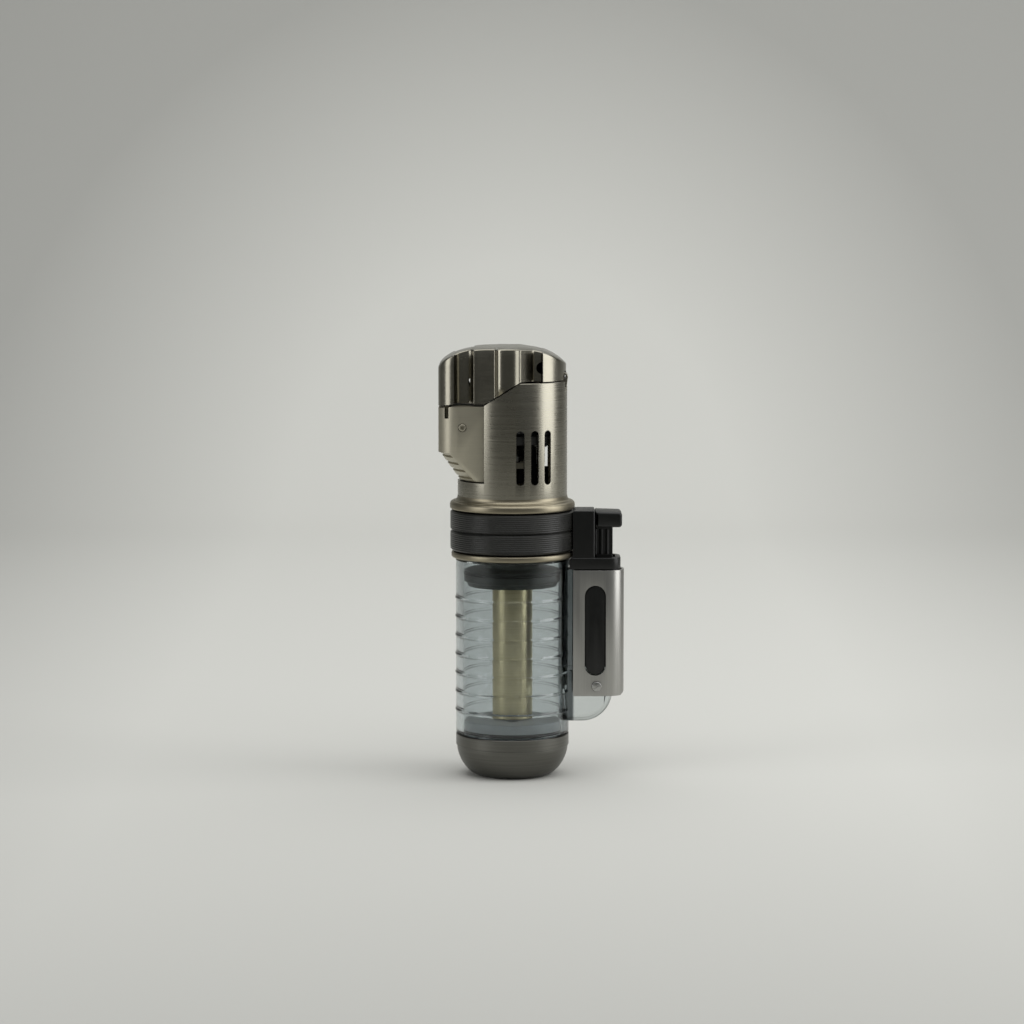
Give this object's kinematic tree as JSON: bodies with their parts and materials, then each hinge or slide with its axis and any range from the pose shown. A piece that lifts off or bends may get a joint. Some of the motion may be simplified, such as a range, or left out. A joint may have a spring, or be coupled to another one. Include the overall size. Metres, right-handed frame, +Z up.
{
  "type": "butane torch",
  "caption": "Pocket butane jet torch with a clear ribbed gas tank, rubber grip band, slotted barrel, fluted flip-up lid, side trigger and a thumb-button piezo igniter.",
  "frame": {"origin": "on the tank's axis, in the plane of the foot", "axes": "+Z up along the tank towards the lid, +X towards the igniter, -X towards the trigger, -Y towards the sleeve's inlay"},
  "size_m": [0.0464, 0.0314, 0.1078],
  "materials": {
    "gunmetal": "satin gunmetal plating",
    "ring_metal": "bright dark plating",
    "dark_metal": "dark satin",
    "steel": "brushed",
    "brass": "machined",
    "rubber": "matte, finely ribbed",
    "black_plastic": "moulded",
    "grey_plastic": "moulded",
    "clear_smoke": "clear, faintly smoked",
    "ceramic": "white glazed ceramic",
    "insulation": "silicone insulation"
  },
  "bodies": {
    "body": {"base_cup": "dark_metal", "filler_body": "brass", "filler_spring": "steel", "tank_bottom_plug": "grey_plastic", "lower_o_ring": "rubber", "tank_body": "clear_smoke", "centre_tube": "brass", "tank_top_plug": "black_plastic", "upper_o_ring": "rubber", "lower_trim_ring": "ring_metal", "grip_band": "rubber", "upper_trim_ring": "ring_metal", "neck_frame": "grey_plastic", "valve_body": "brass", "valve_cap": "brass", "valve_spring": "steel", "air_baffle": "dark_metal", "head_barrel": "gunmetal", "burner_carrier": "grey_plastic", "jet_nozzle": "brass", "mixing_tube": "brass", "flame_tube": "steel", "electrode_insulator": "ceramic", "electrode": "steel", "ignition_wire": "insulation", "lid_hinge_pin": "steel", "trigger_pin": "steel", "trigger_spring": "steel", "igniter_frame": "black_plastic", "igniter_sleeve": "steel", "sleeve_inlay": "black_plastic", "sleeve_screw": "steel", "piezo_body": "grey_plastic", "button_spring": "steel"},
    "lid": {"lid": "gunmetal", "lid_liner": "steel"},
    "trigger": {"trigger": "gunmetal"},
    "valve": {"valve_stem": "steel"},
    "button": {"thumb_button": "black_plastic", "piezo_plunger": "brass"},
    "dial": {"flame_dial": "brass", "regulator_screw": "steel"},
    "filler": {"filler_stem": "steel"}
  },
  "joints": [
    {"name": "lid_hinge", "type": "hinge", "parent": "body", "child": "lid", "pos_m": [0.0126, 0, 0.1004], "axis": [0, 1, 0], "range_deg": [0, 110]},
    {"name": "trigger_pivot", "type": "hinge", "parent": "body", "child": "trigger", "pos_m": [-0.0124, 0, 0.0883], "axis": [0, -1, 0], "range_deg": [0, 5], "stiffness_Nm_per_rad": 0.08, "springref_deg": -17.19, "deforming": ["trigger_spring"]},
    {"name": "valve_lift", "type": "slide", "parent": "body", "child": "valve", "axis": [0, 0, 1], "range_m": [0, 0.0012], "deforming": ["valve_spring"]},
    {"name": "button_slide", "type": "slide", "parent": "body", "child": "button", "axis": [0, 0, -1], "range_m": [0, 0.005], "stiffness_N_per_m": 1500, "springref_m": -0.003, "deforming": ["button_spring"]},
    {"name": "flame_adjust", "type": "hinge", "parent": "body", "child": "dial", "pos_m": [0, -0.005, 0], "axis": [0, 0, 1], "range_deg": [-120, 120]},
    {"name": "filler_push", "type": "slide", "parent": "body", "child": "filler", "axis": [0, 0, 1], "range_m": [0, 0.0015], "stiffness_N_per_m": 800, "springref_m": -0.001, "deforming": ["filler_spring"]}
  ],
  "couplings": [
    {"joint": "valve_lift", "follows": "trigger_pivot", "m_per_rad": 0.0132}
  ]
}
